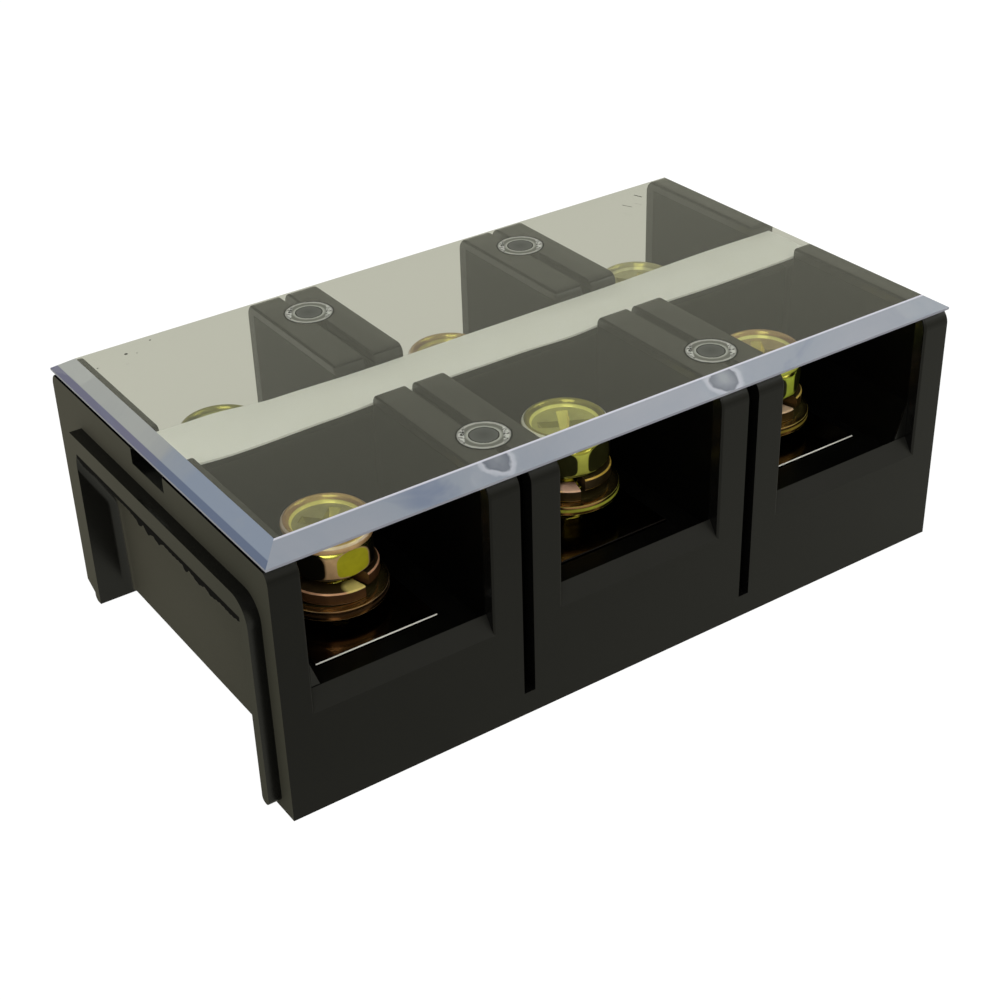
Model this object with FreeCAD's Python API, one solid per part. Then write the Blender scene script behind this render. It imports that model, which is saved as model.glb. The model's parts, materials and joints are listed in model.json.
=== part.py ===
import FreeCAD, Part
import os
import math

# Three pole barrier terminal block, all sizes in millimetres.
# The origin is the middle of the housing outline at the level its feet stand on.
# X runs along the row of poles, Y from the front wire entries to the rear ones, Z up.

# Housing outline
length = 125.0
width = 71.0
housing_height = 42.6
top_edge_radius = 2.5

# Walls along the length
end_wall = 5.0
barrier_wall = 5.2
slit_width = 2.0
pole_count = 3

# Sill at the mouth of each wire pocket
sill_outer_height = 17.1
sill_top_height = 19.95
sill_top_depth = 1.9
sill_draft = 0.12
pocket_floor = 18.4

# Trough that carries the marker strip
trough_width = 10.6
trough_offset = 0.8
trough_depth = 3.2
barrier_end_radius = 1.6
notch_radius = 1.0
wall_edge_radius = 0.4

# Slit between the two walls of a barrier
slit_mouth_depth = 8.0
slit_mouth_floor = 4.0
slit_top_floor = 24.0
slit_web_length = 6.0
slit_web_floor = 39.4

# Mounting holes under the marker strip
mounting_hole_radius = 2.75
mounting_head_radius = 4.4
mounting_head_depth = 7.0
mounting_pad_radius = 7.0

# Recess in each end wall, given as depth from the end plane and height
recess_front_wall = 5.2
recess_rear_wall = 4.5
recess_top = 30.0
recess_knee_depth = 5.7
recess_knee_height = 18.92
recess_foot_depth = 6.1
recess_knee_radius = 5.0
recess_side_radius = 1.6
haunch_top = 26.5
haunch_depth = 2.8

# Locating rim on the left end
rim_height = 2.1
rim_top = 36.5
rim_bar_thickness = 3.2
rim_leg_thickness = 2.0
rim_front = 3.2
rim_bottom = 1.4
rim_bar_end = 61.2
rim_outer_radius = 4.0
rim_inner_radius = 2.0
rim_tip_radius = 0.9

# Feet and underside
underside_relief = 1.0
rear_foot_height = 2.8
rear_foot_inset = 2.6
rear_foot_step = 1.4
rear_foot_tip_radius = 0.9

# Conductor bars
bar_width = 20.6
bar_length = 58.2
bar_offset = 1.3
bar_thickness = 4.0
bar_stand_out = 0.3
bar_edge = 0.15
bar_seat_clearance = 0.25
bar_shift_x = (0.0, 0.6, -0.2)
bar_shift_y = (0.0, -0.1, 1.2)

# Terminal screws with captive washers
screw_spacing = 32.9
thread_radius = 3.9
thread_length = 16.0
tapped_clearance = 0.08
clearance_hole_radius = 4.5
clearance_hole_floor = 6.0
hex_across_flats = 13.0
hex_height = 5.9
hex_collar_radius = 6.1
hex_collar_height = 0.3
hex_corner_radius = 7.1
hex_foot_radius = 6.3
hex_foot_height = 0.9
hex_crown_radius = 6.4
hex_crown_height = 1.0
hex_rim_radius = 6.1
hex_dish_radius = 5.6
hex_dish_lip = 0.35
hex_dish_floor_radius = 5.2
hex_dish_depth = 0.9
cross_length = 8.4
cross_tip_length = 3.4
cross_width = 1.7
cross_depth = 3.0
screw_lift_front = (1.9, 3.5, 2.1)
screw_lift_rear = (2.4, 1.9, 2.9)
screw_turn_front = (37.0, 47.0, 5.0)
screw_turn_rear = (33.0, 8.0, 25.0)

# Washers
flat_washer_radius = 8.55
flat_washer_thickness = 1.6
flat_washer_edge = 0.3
washer_running_clearance = 0.3
spring_washer_radius = 7.3
spring_washer_wire = 2.0
spring_washer_height = 3.7
spring_washer_gap_deg = 6.0
spring_washer_split_front = (284.0, 253.0, 283.0)
spring_washer_split_rear = (40.0, 100.0, 160.0)

# Cover
cover_thickness = 2.35
cover_seat_gap = 0.05
cover_edge = 0.35
cover_bevel_width = 3.2
peg_radius = 3.95
peg_bore_radius = 2.1
peg_length = 7.0
peg_slot = 1.2
peg_slot_depth = 5.0
peg_spacing_y = 50.6
peg_clearance = 0.1
peg_hole_depth = 7.5

# Marker strip
marker_width = 10.2
marker_thickness = 1.0
marker_end_gap = 1.0

left = -length / 2.0
front = -width / 2.0
rear = width / 2.0
barrier = 2.0 * barrier_wall + slit_width
pocket_width = (length - 2.0 * end_wall - (pole_count - 1) * barrier) / pole_count
pole_pitch = pocket_width + barrier
pole_x = [(i - (pole_count - 1) / 2.0) * pole_pitch for i in range(pole_count)]
barrier_x = [(i - (pole_count - 2) / 2.0) * pole_pitch for i in range(pole_count - 1)]
trough_front = trough_offset - trough_width / 2.0
trough_rear = trough_offset + trough_width / 2.0
trough_floor = housing_height - trough_depth
bar_top = pocket_floor + bar_stand_out
bar_bottom = bar_top - bar_thickness
pole_names = ("left", "middle", "right")


def vec(x, y, z):
    return FreeCAD.Vector(x, y, z)


def box(x0, x1, y0, y1, z0, z1):
    return Part.makeBox(x1 - x0, y1 - y0, z1 - z0, vec(x0, y0, z0))


def cylinder(radius, z0, z1, x=0.0, y=0.0):
    return Part.makeCylinder(radius, z1 - z0, vec(x, y, z0), vec(0, 0, 1))


def extrude_x(outline, x0, x1):
    points = [vec(x0, y, z) for y, z in outline]
    face = Part.Face(Part.makePolygon(points + points[:1]))
    return face.extrude(vec(x1 - x0, 0, 0))


def extrude_y(outline, y0, y1):
    points = [vec(x, y0, z) for x, z in outline]
    face = Part.Face(Part.makePolygon(points + points[:1]))
    return face.extrude(vec(0, y1 - y0, 0))


def edges_where(shape, test):
    found = []
    for edge in shape.Edges:
        if test(edge):
            found.append(edge)
    return found


def runs_along(edge, axis):
    ends = edge.Vertexes
    if len(ends) != 2 or edge.Curve.TypeId != "Part::GeomLine":
        return False
    step = ends[1].Point.sub(ends[0].Point)
    return abs(abs(step.dot(axis)) - step.Length) < 1e-6


def middle(edge):
    return edge.valueAt((edge.FirstParameter + edge.LastParameter) / 2.0)


# Housing

def pocket_outline():
    # section of one wire pocket from the mouth to the central ridge, front side
    return [
        (front - 1.0, sill_outer_height),
        (front, sill_outer_height),
        (front + sill_top_depth, sill_top_height),
        (front + sill_top_depth + sill_draft, pocket_floor),
        (trough_front, pocket_floor),
        (trough_front, housing_height + 1.0),
        (front - 1.0, housing_height + 1.0),
    ]


def rear_pocket_outline():
    # the rear mouth mirrors the front one, the ridge keeps its own place
    mirrored = [(-y, z) for y, z in pocket_outline()]
    mirrored[4] = (trough_rear, pocket_floor)
    mirrored[5] = (trough_rear, housing_height + 1.0)
    return mirrored


def pocket_body(outline, index):
    x0 = pole_x[index] - pocket_width / 2.0
    x1 = pole_x[index] + pocket_width / 2.0
    body = extrude_x(outline, x0, x1)
    if index == 0:
        body = body.cut(end_haunch(x0, 1.0))
    if index == pole_count - 1:
        body = body.cut(end_haunch(x1, -1.0))
    return body


def end_haunch(x, side):
    # the end wall thickens downwards inside the pocket, because its outer face is hollowed
    return extrude_y([
        (x - side * 1.0, haunch_top),
        (x, haunch_top),
        (x + side * haunch_depth, pocket_floor),
        (x + side * haunch_depth, pocket_floor - 1.0),
        (x - side * 1.0, pocket_floor - 1.0),
    ], front + sill_top_depth + sill_draft, rear - sill_top_depth - sill_draft)


def end_recess():
    # sloping panel of the left end, open at the foot
    y0 = front + recess_front_wall
    y1 = rear - recess_rear_wall
    outline = [
        (left - 3.0, recess_top),
        (left, recess_top),
        (left + recess_knee_depth, recess_knee_height),
        (left + recess_foot_depth, -1.0),
        (left - 3.0, -1.0),
    ]
    body = extrude_y(outline, y0, y1)
    knee = edges_where(body, lambda e: runs_along(e, vec(0, 1, 0))
                       and abs(middle(e).x - left - recess_knee_depth) < 1e-3)
    body = body.makeFillet(recess_knee_radius, knee)
    sides = edges_where(body, lambda e: middle(e).x > left + 1.0
                        and middle(e).z > 0.0
                        and not runs_along(e, vec(0, 1, 0)))
    return body.makeFillet(recess_side_radius, sides)


def locating_rim():
    y0 = front + rim_front
    y1 = front + rim_bar_end
    outer = Part.makePolygon([
        vec(left, y0, rim_bottom),
        vec(left, y0, rim_top),
        vec(left, y1, rim_top),
        vec(left, y1, rim_top - rim_bar_thickness),
        vec(left, y0 + rim_leg_thickness, rim_top - rim_bar_thickness),
        vec(left, y0 + rim_leg_thickness, rim_bottom),
        vec(left, y0, rim_bottom),
    ])
    rim = Part.Face(outer).extrude(vec(-rim_height, 0, 0))
    corner = edges_where(rim, lambda e: runs_along(e, vec(1, 0, 0))
                         and abs(middle(e).y - y0) < 1e-3 and abs(middle(e).z - rim_top) < 1e-3)
    rim = rim.makeFillet(rim_outer_radius, corner)
    inner = edges_where(rim, lambda e: runs_along(e, vec(1, 0, 0))
                        and abs(middle(e).y - y0 - rim_leg_thickness) < 1e-3
                        and abs(middle(e).z - rim_top + rim_bar_thickness) < 1e-3)
    rim = rim.makeFillet(rim_inner_radius, inner)
    tip = edges_where(rim, lambda e: runs_along(e, vec(1, 0, 0))
                      and abs(middle(e).z - rim_bottom) < 1e-3)
    return rim.makeFillet(rim_tip_radius, tip)


def slit(x, side):
    # side is -1 for the front half of the barrier and 1 for the rear half
    face = rear if side > 0 else front
    trough = trough_rear if side > 0 else trough_front
    outline = [
        (face + side * 1.0, slit_mouth_floor),
        (face - side * slit_mouth_depth, slit_mouth_floor),
        (face - side * slit_mouth_depth, slit_top_floor),
        (trough + side * slit_web_length, slit_top_floor),
        (trough + side * slit_web_length, slit_web_floor),
        (trough - side * 0.5, slit_web_floor),
        (trough - side * 0.5, housing_height + 1.0),
        (face + side * 1.0, housing_height + 1.0),
    ]
    return extrude_x(outline, x - slit_width / 2.0, x + slit_width / 2.0)


def underside():
    # relief between the feet and the stepped rear foot
    relief = box(left - 1.0, -left + 1.0, front + recess_front_wall, rear - recess_rear_wall,
                 -1.0, underside_relief)
    for x in barrier_x:
        relief = relief.cut(cylinder(mounting_pad_radius, -2.0, underside_relief + 1.0, x))
    step = extrude_x([
        (rear + 1.0, -1.0),
        (rear - rear_foot_inset, -1.0),
        (rear - rear_foot_inset, rear_foot_step),
        (rear, rear_foot_height),
        (rear + 1.0, rear_foot_height),
    ], left - 1.0, -left + 1.0)
    return relief.fuse(step)


def bar_box(index, clearance):
    x = pole_x[index] + bar_shift_x[index]
    y = bar_offset + bar_shift_y[index]
    return box(x - bar_width / 2.0 - clearance, x + bar_width / 2.0 + clearance,
               y - bar_length / 2.0 - clearance, y + bar_length / 2.0 + clearance,
               bar_bottom, bar_top)


def screw_place(index, side):
    x = pole_x[index] + bar_shift_x[index]
    return x, side * screw_spacing / 2.0 + bar_offset + bar_shift_y[index]


def housing():
    body = box(left, -left, front, rear, 0.0, housing_height)
    for index in range(pole_count):
        body = body.cut(pocket_body(pocket_outline(), index))
        body = body.cut(pocket_body(rear_pocket_outline(), index))
    body = body.cut(box(left - 1.0, -left + 1.0, trough_front, trough_rear,
                        trough_floor, housing_height + 1.0))
    outer = edges_where(body, lambda e: runs_along(e, vec(1, 0, 0))
                        and abs(middle(e).z - housing_height) < 1e-3
                        and abs(abs(middle(e).y) - rear) < 1e-3)
    body = body.makeFillet(top_edge_radius, outer)
    inner = edges_where(body, lambda e: runs_along(e, vec(1, 0, 0))
                        and abs(middle(e).z - housing_height) < 1e-3
                        and abs(middle(e).x) < pole_x[-1])
    body = body.makeFillet(barrier_end_radius, inner)
    notch = edges_where(body, lambda e: runs_along(e, vec(1, 0, 0))
                        and abs(middle(e).z - housing_height) < 1e-3
                        and abs(middle(e).x) > pole_x[-1])
    body = body.makeFillet(notch_radius, notch)
    inside = -left - 0.5
    soft = edges_where(body, lambda e: abs(middle(e).x) < inside
                       and middle(e).z > sill_top_height + 2.0
                       and abs(e.Vertexes[0].Point.x - e.Vertexes[-1].Point.x) < 1e-6
                       and (abs(abs(middle(e).y) - rear) < 1e-3
                            or middle(e).z > housing_height - top_edge_radius))
    soft = [e for e in soft if abs(middle(e).y - trough_offset) > trough_width / 2.0 + 0.01]
    body = body.makeFillet(wall_edge_radius, soft)
    for x in barrier_x:
        for side in (-1, 1):
            body = body.cut(slit(x, side))
            body = body.cut(cylinder(peg_radius + peg_clearance, housing_height - peg_hole_depth,
                                     housing_height + 1.0, x, side * peg_spacing_y / 2.0))
        body = body.cut(cylinder(mounting_hole_radius, -1.0, housing_height, x))
        body = body.cut(cylinder(mounting_head_radius, trough_floor - mounting_head_depth,
                                 housing_height, x))
    recess = end_recess()
    body = body.cut(recess)
    body = body.cut(recess.mirror(vec(0, 0, 0), vec(1, 0, 0)))
    body = body.cut(underside())
    tip = edges_where(body, lambda e: runs_along(e, vec(1, 0, 0)) and abs(middle(e).z) < 1e-3
                      and abs(middle(e).y - rear + rear_foot_inset) < 1e-3)
    body = body.makeFillet(rear_foot_tip_radius, tip)
    for index in range(pole_count):
        body = body.cut(bar_seat(index))
        for side in (-1, 1):
            x, y = screw_place(index, side)
            body = body.cut(cylinder(clearance_hole_radius, clearance_hole_floor,
                                     bar_bottom + 0.5, x, y))
    body = body.fuse(locating_rim())
    return body.removeSplitter()


def bar_seat(index):
    # the moulding grips the bar under the ridge and leaves a small gap round it elsewhere
    seat = bar_box(index, bar_seat_clearance)
    grip = box(left, -left, trough_front, trough_rear, 0.0, housing_height)
    return seat.cut(grip).fuse(bar_box(index, 0.0))


# Conductor bars

def conductor_bar(index):
    body = bar_box(index, 0.0)
    top = edges_where(body, lambda e: runs_along(e, vec(1, 0, 0))
                      and abs(middle(e).z - bar_top) < 1e-3)
    body = body.makeChamfer(bar_edge, top)
    for side in (-1, 1):
        x, y = screw_place(index, side)
        body = body.cut(cylinder(thread_radius + tapped_clearance, bar_bottom - 1.0,
                                 bar_top + 1.0, x, y))
    return body


# Screws and washers

def washer_seat(lift):
    return bar_top + lift


def head_underside(lift):
    return washer_seat(lift) + flat_washer_thickness + spring_washer_height


def flat_washer(x, y, lift):
    z = washer_seat(lift)
    body = cylinder(flat_washer_radius, z, z + flat_washer_thickness, x, y)
    body = body.makeChamfer(flat_washer_edge, edges_where(body, lambda e: len(e.Vertexes) == 1))
    return body.cut(cylinder(thread_radius + washer_running_clearance, z - 1.0, z + 3.0, x, y))


def spring_washer(x, y, lift, split):
    # one open left-hand turn of square wire, its two ends apart in height
    z = washer_seat(lift) + flat_washer_thickness
    inner = thread_radius + washer_running_clearance
    turn = 360.0 - spring_washer_gap_deg
    rise = spring_washer_height - spring_washer_wire
    pitch = rise * 360.0 / turn
    middle_radius = (inner + spring_washer_radius) / 2.0
    spine = Part.makeHelix(pitch, rise, middle_radius)
    section = Part.makePolygon([
        vec(inner, 0, 0),
        vec(spring_washer_radius, 0, 0),
        vec(spring_washer_radius, 0, spring_washer_wire),
        vec(inner, 0, spring_washer_wire),
        vec(inner, 0, 0),
    ])
    body = Part.Wire(spine.Edges).makePipeShell([section], True, True)
    body = body.mirror(vec(0, 0, 0), vec(0, 1, 0))
    body.rotate(vec(0, 0, 0), vec(0, 0, 1), split)
    body.translate(vec(x, y, z))
    return body


def hex_prism(across, z0, z1):
    radius = across / math.sqrt(3.0)
    points = []
    for i in range(7):
        angle = math.radians(60.0 * i + 30.0)
        points.append(vec(radius * math.cos(angle), radius * math.sin(angle), z0))
    return Part.Face(Part.makePolygon(points)).extrude(vec(0, 0, z1 - z0))


def cross_recess(z):
    # two crossing tapered slots
    half = cross_length / 2.0
    tip = cross_tip_length / 2.0
    slot = extrude_y([
        (-half, z + 0.5),
        (-half, z - 0.1),
        (-tip, z - cross_depth),
        (tip, z - cross_depth),
        (half, z - 0.1),
        (half, z + 0.5),
    ], -cross_width / 2.0, cross_width / 2.0)
    other = slot.copy()
    other.rotate(vec(0, 0, 0), vec(0, 0, 1), 90.0)
    return slot.fuse(other)


def head_envelope(z, top):
    # round form that trims the corners of the hexagon, with a shallow dish in its top
    outline = [
        (0.0, z),
        (hex_foot_radius, z),
        (hex_corner_radius, z + hex_foot_height),
        (hex_corner_radius, top - hex_crown_height),
        (hex_crown_radius, top),
        (hex_rim_radius, top),
        (hex_dish_radius, top - hex_dish_lip),
        (hex_dish_floor_radius, top - hex_dish_depth),
        (0.0, top - hex_dish_depth),
    ]
    points = [vec(r, 0, h) for r, h in outline]
    face = Part.Face(Part.makePolygon(points + points[:1]))
    return face.revolve(vec(0, 0, 0), vec(0, 0, 1), 360.0)


def terminal_screw(x, y, lift, turn):
    z = head_underside(lift)
    top = z + hex_collar_height + hex_height
    head = hex_prism(hex_across_flats, z + hex_collar_height, top)
    head = head.common(head_envelope(z + hex_collar_height, top))
    head = head.fuse(cylinder(hex_collar_radius, z, z + hex_collar_height + 0.5))
    shank = cylinder(thread_radius, z - thread_length, z + 0.5)
    tip = edges_where(shank, lambda e: middle(e).z < z - thread_length + 0.1 and len(e.Vertexes) == 1)
    shank = shank.makeChamfer(0.8, tip)
    body = head.fuse(shank).cut(cross_recess(top - hex_dish_depth))
    body = body.removeSplitter()
    body.rotate(vec(0, 0, 0), vec(0, 0, 1), turn)
    body.translate(vec(x, y, 0))
    return body


# Cover and marker strip

def cover():
    z0 = housing_height + cover_seat_gap
    z1 = z0 + cover_edge
    z2 = z0 + cover_thickness
    plate = box(left, -left, front, rear, z0, z1)
    inset = cover_bevel_width
    low = Part.makePolygon([vec(left, front, z1), vec(-left, front, z1), vec(-left, rear, z1),
                            vec(left, rear, z1), vec(left, front, z1)])
    high = Part.makePolygon([vec(left + inset, front + inset, z2), vec(-left - inset, front + inset, z2),
                             vec(-left - inset, rear - inset, z2), vec(left + inset, rear - inset, z2),
                             vec(left + inset, front + inset, z2)])
    body = plate.fuse(Part.makeLoft([low, high], True, True))
    for x in barrier_x:
        for side in (-1, 1):
            body = body.fuse(cover_peg(x, side * peg_spacing_y / 2.0))
    return body.removeSplitter()


def cover_peg(x, y):
    z = housing_height
    peg = cylinder(peg_radius, z - peg_length, z + 0.2, x, y)
    tip = [e for e in peg.Edges if len(e.Vertexes) == 1 and middle(e).z < z - peg_length + 0.1]
    peg = peg.makeChamfer(0.5, tip)
    peg = peg.cut(cylinder(peg_bore_radius, z - peg_length - 1.0, z, x, y))
    return peg.cut(box(x - peg_radius - 1.0, x + peg_radius + 1.0, y - peg_slot / 2.0,
                       y + peg_slot / 2.0, z - peg_length - 1.0, z - peg_length + peg_slot_depth))


def marker_strip():
    return box(left + marker_end_gap, -left - marker_end_gap, trough_offset - marker_width / 2.0,
               trough_offset + marker_width / 2.0, trough_floor, trough_floor + marker_thickness)


def parts():
    made = {"housing": housing(), "cover": cover(), "marker_strip": marker_strip()}
    rows = (("front", -1, screw_lift_front, screw_turn_front, spring_washer_split_front),
            ("rear", 1, screw_lift_rear, screw_turn_rear, spring_washer_split_rear))
    for index, name in enumerate(pole_names):
        made["bar_" + name] = conductor_bar(index)
        for row, side, lifts, turns, splits in rows:
            x, y = screw_place(index, side)
            made["screw_" + row + "_" + name] = terminal_screw(x, y, lifts[index], turns[index])
            made["spring_washer_" + row + "_" + name] = spring_washer(x, y, lifts[index], splits[index])
            made["flat_washer_" + row + "_" + name] = flat_washer(x, y, lifts[index])
    return made


os.makedirs("parts", exist_ok=True)
for node, shape in parts().items():
    shape.exportStep("parts/" + node + ".step")
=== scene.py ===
import bpy
import json
import math
from mathutils import Matrix, Vector


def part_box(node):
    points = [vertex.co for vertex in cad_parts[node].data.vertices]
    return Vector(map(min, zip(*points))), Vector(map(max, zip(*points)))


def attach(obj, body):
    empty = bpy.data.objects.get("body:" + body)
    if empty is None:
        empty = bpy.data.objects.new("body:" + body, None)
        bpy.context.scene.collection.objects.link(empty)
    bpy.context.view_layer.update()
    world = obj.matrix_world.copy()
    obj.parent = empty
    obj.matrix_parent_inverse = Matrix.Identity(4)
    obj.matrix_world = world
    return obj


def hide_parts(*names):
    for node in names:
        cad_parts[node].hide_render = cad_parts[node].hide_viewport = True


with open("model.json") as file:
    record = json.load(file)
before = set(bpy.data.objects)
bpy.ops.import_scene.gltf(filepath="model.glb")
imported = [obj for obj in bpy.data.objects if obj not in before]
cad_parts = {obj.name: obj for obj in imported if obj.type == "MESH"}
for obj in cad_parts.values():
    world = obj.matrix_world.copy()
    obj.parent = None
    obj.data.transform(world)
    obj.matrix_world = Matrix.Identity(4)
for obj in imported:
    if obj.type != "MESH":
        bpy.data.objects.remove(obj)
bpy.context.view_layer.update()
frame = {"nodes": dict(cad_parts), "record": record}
nodes = frame["nodes"]
MM = 0.001

# Heads and washers in millimetres
HEAD_HEIGHT = 6.2
HALF_FLATS = 6.5
FLAT_BLEND = 0.12
BARREL_LOW = 0.3
BARREL_TALL = 4.6
BARREL_RINGS = 30
HEAD_STEPS = 180
# Height over the underside of the head, and radius there
BASE = [(0.0, 3.9), (0.0, 6.0), (0.08, 6.1), (0.26, 6.1)]
BARREL = [(0.3, 6.35), (0.55, 6.70), (0.9, 6.95), (1.4, 7.08), (2.0, 7.12), (3.4, 7.12), (4.1, 7.03),
          (4.5, 6.88), (4.75, 6.70), (4.9, 6.55)]
COLLAR = [(4.94, 6.66), (5.02, 6.78), (5.3, 6.84), (5.6, 6.80), (5.85, 6.66), (6.0, 6.52), (6.1, 6.40),
          (6.18, 6.27)]
CROWN = [(6.2, 6.15), (6.16, 6.0), (5.98, 5.8), (5.66, 5.60), (5.45, 5.50), (5.18, 5.34), (5.04, 5.22),
         (4.97, 4.9), (4.95, 3.0), (4.94, 0.9)]
# Place along the arm, height over the dish floor, and half width there
CROSS_ARM = [(-4.2, 0.5, 0.95), (-4.2, -0.05, 0.95), (-1.9, -3.0, 0.5), (1.9, -3.0, 0.5), (4.2, -0.05, 0.95),
             (4.2, 0.5, 0.95)]
CROSS_RISE = 0.05
THREAD_PITCH = 1.25
THREAD_OUTER = 3.88
THREAD_INNER = 3.2
TIP_RADIUS = 2.9
TIP_SLOPE = 1.2
THREAD_STEPS = 48
RINGS_PER_TURN = 8
THREAD_OVERLAP = 0.1
WASHER_STEPS = 120
DISC_BORE = 4.25
DISC_SOFT = 0.16
COIL_BORE = 4.2
COIL_OUTER = 7.3
COIL_WIRE = 2.0
COIL_SOFT = 0.22
COIL_TURN = 354.0
CUT_ANGLE = 8.0
CUT_RADIUS = 6.4
CUT_SHINE = (2.415 * MM, 1.68 * MM)

# Strip, flash, pegs and dust in millimetres
STRIP_HALF = 61.5
STRIP_THICK = 0.35
STRIP_ARCH = 0.25
TROUGH_FLOOR = 40.05
HALF_DEPTH = 35.5
RIM_FACE = -64.62
RIM_EDGE = 33.34
RIM_SPAN = (5.4, 59.5)
PLATE_TOP = 44.985
RING_HEIGHT = 42.70
RING_RADIUS = 4.25
RING_STEPS = 64
PEGS = ((-21.233, -25.3), (21.233, -25.3), (-21.233, 25.3), (21.233, 25.3))

# Limits in metres over which one painted tone of light or shade, or one finish, gives way to the next
POCKET_TOP = (0.0412, 0.0406)
POCKET_MOUTH = (0.0334, 0.0332)
POCKET_END = (0.0562, 0.0560)
SIDE_FACE = (0.0334, 0.0336)
END_FACE = (0.0560, 0.0563)
END_SLOPE = (0.0455, 0.0524)
COVER_GAP = (0.0420, 0.0421)
BEVEL_BAND = (-0.06162, -0.06150)
BEVEL_CREST = (0.04482, 0.04488)
PLATE_EDGE = (0.04262, 0.04266)
CROSS_OUT = (0.00520, 0.00510)
FLOOR_OUT = (0.00530, 0.00515)
WALL_IN = (0.00518, 0.00524)
WALL_OUT = (0.00556, 0.00548)
RIM_IN = (0.00548, 0.00556)
RIM_OUT = (0.00648, 0.00640)
LINE_IN = (0.00640, 0.00648)
SHANK_OUT = (0.0062, 0.0063)

# Middle of the bevel's painted patch of shade, and middle and size of the two pegs whose reflections are
# painted there, in millimetres
BEVEL_PATCH = (-36.0, -33.4, 44.0)
BEVEL_PEGS = (((-24.3, -32.5, 43.9), 3.3), ((16.6, -33.2, 43.9), 3.6))

# Plating hues
GOLD = [(0.0, (0.58, 0.54, 0.10)), (0.3, (0.64, 0.61, 0.10)), (0.5, (0.66, 0.58, 0.20)),
        (0.7, (0.70, 0.50, 0.32)), (1.0, (0.74, 0.62, 0.48))]
COPPER = [(0.0, (0.40, 0.20, 0.09)), (0.3, (0.46, 0.27, 0.10)), (0.6, (0.42, 0.36, 0.10)),
          (1.0, (0.60, 0.45, 0.30))]
# painted shade on the outsides and single flats of the heads
PAINTED_SHADE = (0.006, 0.005, 0.003)
FORWARD = (0.0, -1.0, 0.0)
UPWARD = (0.0, 0.0, 1.0)
# Per head, painted tones of light over the plating's hue: dish floor, dish wall, rim, outer edge line, single
# flats with painted shade or a painted highlight, the painted bright reflected column, and the direction the
# column faces
HEADS = {
    "front_left": {"floor": (0.33, 0.31, 0.13), "wall": (0.92, 0.84, 0.24), "rim": (0.46, 0.28, 0.13),
                   "line": (0.78, 0.62, 0.46), "flats": [(3, PAINTED_SHADE), (4, (0.45, 0.42, 0.004))],
                   "column": (0.72, 0.45, 0.23), "toward": (-0.30, -0.954, 0.0)},
    "front_middle": {"floor": (0.44, 0.43, 0.13), "wall": (0.95, 0.93, 0.26), "rim": (0.20, 0.18, 0.05),
                     "line": (0.95, 0.92, 0.72), "flats": [(3, PAINTED_SHADE), (4, PAINTED_SHADE)],
                     "column": (0.62, 0.62, 0.10), "toward": (-0.225, -0.974, 0.0)},
    "front_right": {"floor": (0.42, 0.33, 0.16), "wall": (0.95, 0.90, 0.34), "rim": (0.44, 0.26, 0.15),
                    "line": (0.80, 0.60, 0.46), "flats": [(4, PAINTED_SHADE), (5, PAINTED_SHADE)],
                    "column": (0.56, 0.66, 0.07), "toward": (0.14, -0.99, 0.0)},
    "rear_left": {"floor": (0.22, 0.22, 0.12), "wall": (0.36, 0.37, 0.14), "rim": (0.16, 0.16, 0.06),
                  "line": (0.32, 0.32, 0.16), "flats": [], "column": PAINTED_SHADE, "toward": FORWARD},
    "rear_middle": {"floor": (0.36, 0.30, 0.16), "wall": (0.58, 0.50, 0.20), "rim": (0.40, 0.26, 0.15),
                    "line": (0.68, 0.50, 0.40), "flats": [], "column": PAINTED_SHADE, "toward": FORWARD},
    "rear_right": {"floor": (0.42, 0.40, 0.22), "wall": (0.72, 0.70, 0.42), "rim": (0.44, 0.41, 0.25),
                   "line": (0.60, 0.55, 0.36), "flats": [], "column": PAINTED_SHADE, "toward": FORWARD},
}
# Painted tones of light over the plating's hue on the side, edge, top and cut end of the spring washers by
# pole, with painted highlights on the edge and cut end
COILS = {
    "left": ((0.085, 0.038, 0.016), (0.78, 0.42, 0.24), (0.045, 0.028, 0.012), (0.88, 0.72, 0.22)),
    "middle": ((0.030, 0.020, 0.008), (0.70, 0.46, 0.08), (0.040, 0.028, 0.010), (0.92, 0.56, 0.40)),
    "right": ((0.060, 0.036, 0.010), (0.74, 0.52, 0.12), (0.050, 0.034, 0.012), (0.92, 0.64, 0.42)),
}
# Painted tones of light over the plating's hue on the side, edge and top of the flat washers by pole, with a
# painted highlight on the edge
DISCS = {
    "left": ((0.050, 0.026, 0.011), (0.55, 0.37, 0.20), (0.055, 0.042, 0.014)),
    "middle": ((0.58, 0.59, 0.07), (0.62, 0.58, 0.12), (0.045, 0.034, 0.011)),
    "right": ((0.42, 0.30, 0.045), (0.86, 0.68, 0.18), (0.075, 0.062, 0.018)),
}
# Turn of the hexagon, of the cross recess and of the spring washer's gap, in degrees
SCREWS = {
    "front_left": (32.5, 42.0, 284.0),
    "front_middle": (47.0, 60.0, 253.0),
    "front_right": (5.5, 58.0, 283.0),
    "rear_left": (33.0, 20.0, 40.0),
    "rear_middle": (8.0, 70.0, 100.0),
    "rear_right": (25.0, 35.0, 160.0),
}


# Materials

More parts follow.
